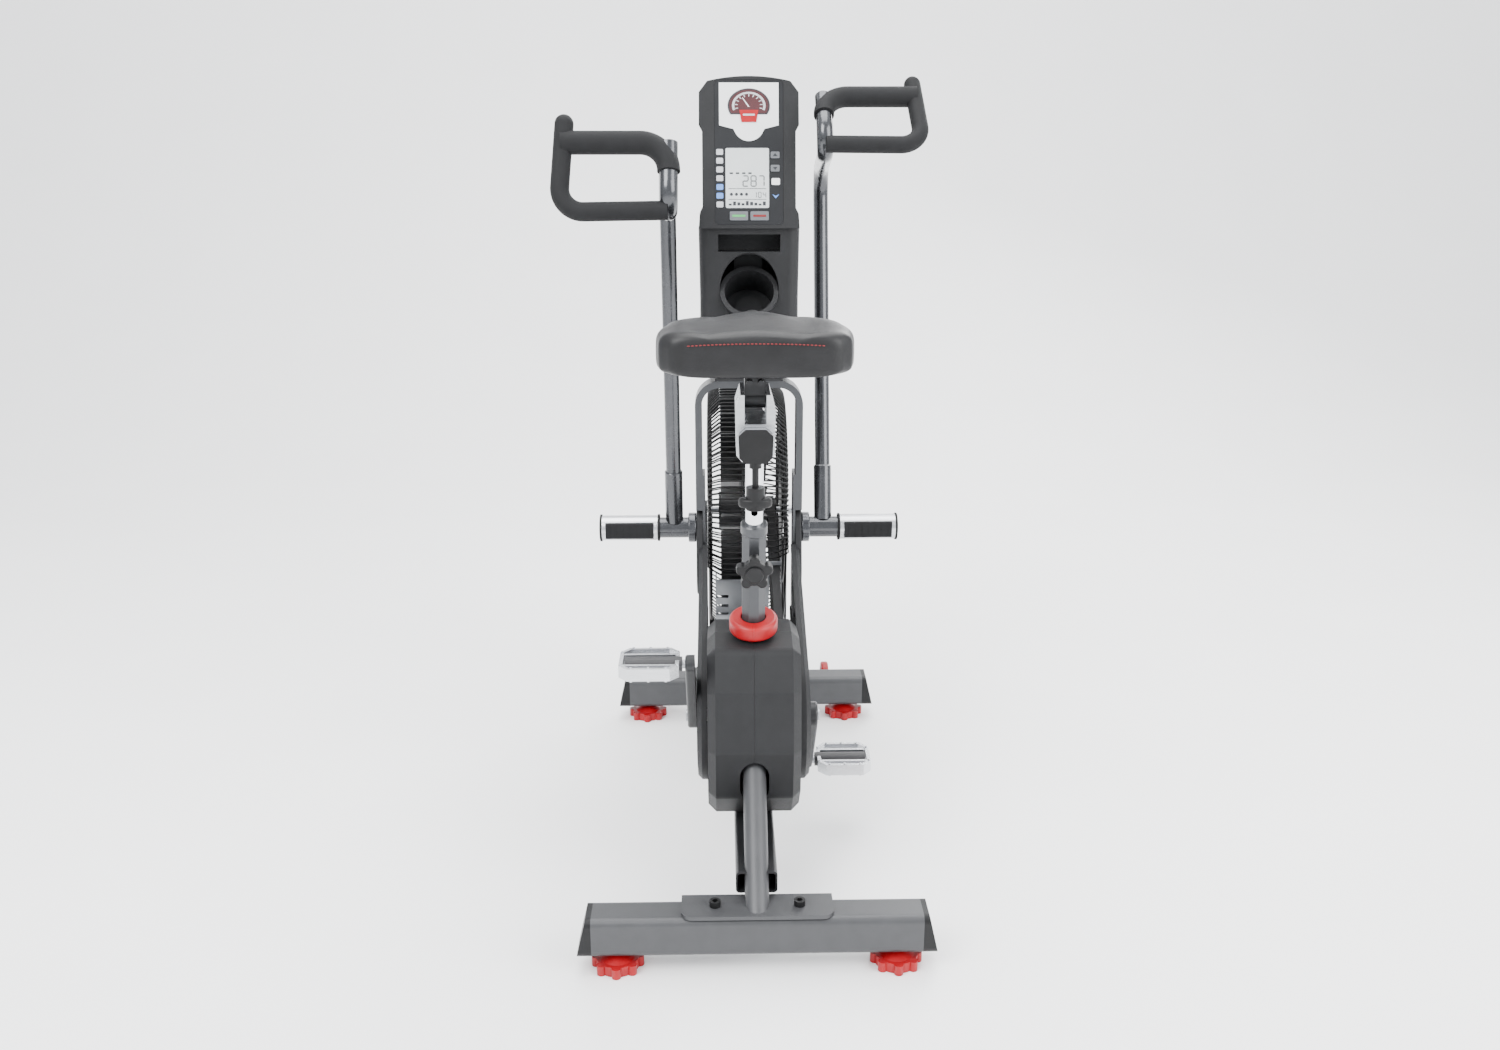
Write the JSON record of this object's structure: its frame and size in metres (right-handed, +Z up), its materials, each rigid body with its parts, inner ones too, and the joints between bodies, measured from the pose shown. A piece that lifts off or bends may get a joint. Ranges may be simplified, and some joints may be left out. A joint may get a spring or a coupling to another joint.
{
  "type": "air bike",
  "caption": "Upright fan exercise bike with swinging handlebar arms, wire fan cage, foot pegs, padded saddle and tilted console.",
  "frame": {"origin": "on the floor, at the middle of the base of the machine's box", "axes": "+Z up, +Y forward (the way the rider faces), +X to the rider's right"},
  "size_m": [0.5946, 1.1799, 1.309],
  "materials": {
    "grey_paint": "satin",
    "dark_paint": "satin",
    "silver_paint": "satin",
    "gunmetal": "gloss",
    "black_wire": "satin",
    "charcoal_plastic": "matte",
    "black_plastic": "satin",
    "grey_plastic": "gloss",
    "red_plastic": "satin",
    "white_plastic": "satin",
    "screen": "gloss",
    "key_plastic": "satin",
    "rubber": "matte",
    "belt_rubber": "matte",
    "vinyl": "satin",
    "chrome": "polished",
    "bright_metal": "brushed",
    "steel": "brushed"
  },
  "bodies": {
    "frame": {"bottle_holder": "charcoal_plastic", "cage_rings": "black_wire", "collar_halves": "red_plastic", "console_face": "white_plastic", "console_screen": "screen", "console_shell": "charcoal_plastic", "crank_bearings": "steel", "drive_belt": "belt_rubber", "fan_axle": "steel", "fan_fork": "dark_paint", "foot_pegs": "bright_metal", "fork": "silver_paint", "front_stabiliser": "grey_paint", "left_cage": "black_wire", "left_housing": "charcoal_plastic", "left_side_cover": "charcoal_plastic", "lower_beam": "dark_paint", "lower_guard": "grey_plastic", "mast_shroud": "charcoal_plastic", "mast_tube": "dark_paint", "peg_rubbers": "rubber", "rear_stabiliser": "grey_paint", "rear_stay": "grey_paint", "right_cage": "black_wire", "right_housing": "charcoal_plastic", "right_side_cover": "charcoal_plastic", "seat_tube": "silver_paint", "stabiliser_bolts": "black_plastic", "stabiliser_end_caps": "black_plastic"},
    "crank": {"crank_axle": "steel", "crank_arms": "dark_paint", "drive_pulley": "dark_paint", "eccentrics": "steel", "pedal_spindles": "steel"},
    "left_pedal": {"left_pedal": "bright_metal"},
    "right_pedal": {"right_pedal": "bright_metal"},
    "fan": {"fan_wheel": "dark_paint"},
    "left_arm": {"left_arm": "gunmetal", "left_grips": "rubber"},
    "right_arm": {"right_arm": "gunmetal", "right_grips": "rubber"},
    "left_rod": {"left_rod": "steel"},
    "right_rod": {"right_rod": "steel"},
    "seat_post": {"seat_post": "chrome", "rail_caps": "black_plastic"},
    "height_knob": {"height_knob": "black_plastic"},
    "seat_slider": {"seat_slider": "bright_metal"},
    "lock_knob": {"lock_knob": "black_plastic"},
    "saddle": {"saddle_clamp": "dark_paint", "saddle": "vinyl"},
    "left_wheel": {"left_wheel": "red_plastic"},
    "right_wheel": {"right_wheel": "red_plastic"},
    "left_rear_foot": {"left_rear_foot": "red_plastic"},
    "right_rear_foot": {"right_rear_foot": "red_plastic"},
    "left_front_foot": {"left_front_foot": "red_plastic"},
    "right_front_foot": {"right_front_foot": "red_plastic"},
    "up_key": {"up_key": "key_plastic"},
    "down_key": {"down_key": "key_plastic"},
    "start_key": {"start_key": "key_plastic"},
    "stop_key": {"stop_key": "key_plastic"}
  },
  "joints": [
    {"name": "crank_spin", "type": "hinge", "parent": "frame", "child": "crank", "pos_m": [0, -0.26, 0.279], "axis": [1, 0, 0], "continuous": true},
    {"name": "left_pedal_spin", "type": "hinge", "parent": "crank", "child": "left_pedal", "pos_m": [-0.163, -0.36702, 0.41746], "axis": [1, 0, 0], "continuous": true},
    {"name": "right_pedal_spin", "type": "hinge", "parent": "crank", "child": "right_pedal", "pos_m": [0.163, -0.15298, 0.14054], "axis": [1, 0, 0], "continuous": true},
    {"name": "fan_spin", "type": "hinge", "parent": "frame", "child": "fan", "pos_m": [0, 0.3184, 0.471], "axis": [1, 0, 0], "continuous": true},
    {"name": "left_arm_swing", "type": "hinge", "parent": "frame", "child": "left_arm", "pos_m": [-0.137, 0.038, 0.519], "axis": [-1, 0, 0], "range_deg": [-2, 26]},
    {"name": "right_arm_swing", "type": "hinge", "parent": "frame", "child": "right_arm", "pos_m": [0.137, 0.038, 0.519], "axis": [-1, 0, 0], "range_deg": [-26, 2]},
    {"name": "left_rod_swing", "type": "hinge", "parent": "left_arm", "child": "left_rod", "pos_m": [-0.0869, 0.05896, 0.42122], "axis": [-1, 0, 0], "range_deg": [-26, 2]},
    {"name": "right_rod_swing", "type": "hinge", "parent": "right_arm", "child": "right_rod", "pos_m": [0.0869, 0.01704, 0.42122], "axis": [-1, 0, 0], "range_deg": [-2, 26]},
    {"name": "seat_post_slide", "type": "slide", "parent": "frame", "child": "seat_post", "axis": [0, -0.2164, 0.9763], "range_m": [-0.05, 0.12]},
    {"name": "height_knob_pull", "type": "slide", "parent": "frame", "child": "height_knob", "axis": [0, -0.9763, -0.2164], "range_m": [0, 0.01], "stiffness_N_per_m": 2000, "springref_m": -0.003},
    {"name": "seat_slider_slide", "type": "slide", "parent": "seat_post", "child": "seat_slider", "axis": [0, 1, 0], "range_m": [-0.016, 0.016]},
    {"name": "lock_knob_turn", "type": "hinge", "parent": "seat_slider", "child": "lock_knob", "pos_m": [0, -0.41086, 0.72], "axis": [0, 0, 1], "range_deg": [-90, 90]},
    {"name": "saddle_tilt", "type": "hinge", "parent": "seat_slider", "child": "saddle", "pos_m": [0, -0.368, 0.841], "axis": [1, 0, 0], "range_deg": [-6, 6]},
    {"name": "left_wheel_spin", "type": "hinge", "parent": "frame", "child": "left_wheel", "pos_m": [-0.175, 0.4, 0.067], "axis": [1, 0, 0], "continuous": true},
    {"name": "left_rear_foot_turn", "type": "hinge", "parent": "frame", "child": "left_rear_foot", "pos_m": [-0.213, -0.55, 0.03], "axis": [0, 0, 1], "range_deg": [-180, 180]},
    {"name": "left_front_foot_turn", "type": "hinge", "parent": "frame", "child": "left_front_foot", "pos_m": [-0.213, 0.34, 0.03], "axis": [0, 0, 1], "range_deg": [-180, 180]},
    {"name": "right_wheel_spin", "type": "hinge", "parent": "frame", "child": "right_wheel", "pos_m": [0.175, 0.4, 0.067], "axis": [1, 0, 0], "continuous": true},
    {"name": "right_rear_foot_turn", "type": "hinge", "parent": "frame", "child": "right_rear_foot", "pos_m": [0.213, -0.55, 0.03], "axis": [0, 0, 1], "range_deg": [-180, 180]},
    {"name": "right_front_foot_turn", "type": "hinge", "parent": "frame", "child": "right_front_foot", "pos_m": [0.213, 0.34, 0.03], "axis": [0, 0, 1], "range_deg": [-180, 180]},
    {"name": "up_key_press", "type": "slide", "parent": "frame", "child": "up_key", "axis": [0, 0.9781, -0.2079], "range_m": [0, 0.0008], "stiffness_N_per_m": 800, "springref_m": -0.0005},
    {"name": "down_key_press", "type": "slide", "parent": "frame", "child": "down_key", "axis": [0, 0.9781, -0.2079], "range_m": [0, 0.0008], "stiffness_N_per_m": 800, "springref_m": -0.0005},
    {"name": "start_key_press", "type": "slide", "parent": "frame", "child": "start_key", "axis": [0, 0.9781, -0.2079], "range_m": [0, 0.0008], "stiffness_N_per_m": 800, "springref_m": -0.0005},
    {"name": "stop_key_press", "type": "slide", "parent": "frame", "child": "stop_key", "axis": [0, 0.9781, -0.2079], "range_m": [0, 0.0008], "stiffness_N_per_m": 800, "springref_m": -0.0005}
  ],
  "couplings": [
    {"joint": "fan_spin", "follows": "crank_spin", "ratio": 3},
    {"joint": "right_arm_swing", "follows": "left_arm_swing", "ratio": -1},
    {"joint": "left_rod_swing", "follows": "left_arm_swing", "ratio": -1},
    {"joint": "right_rod_swing", "follows": "left_arm_swing", "ratio": 1}
  ]
}
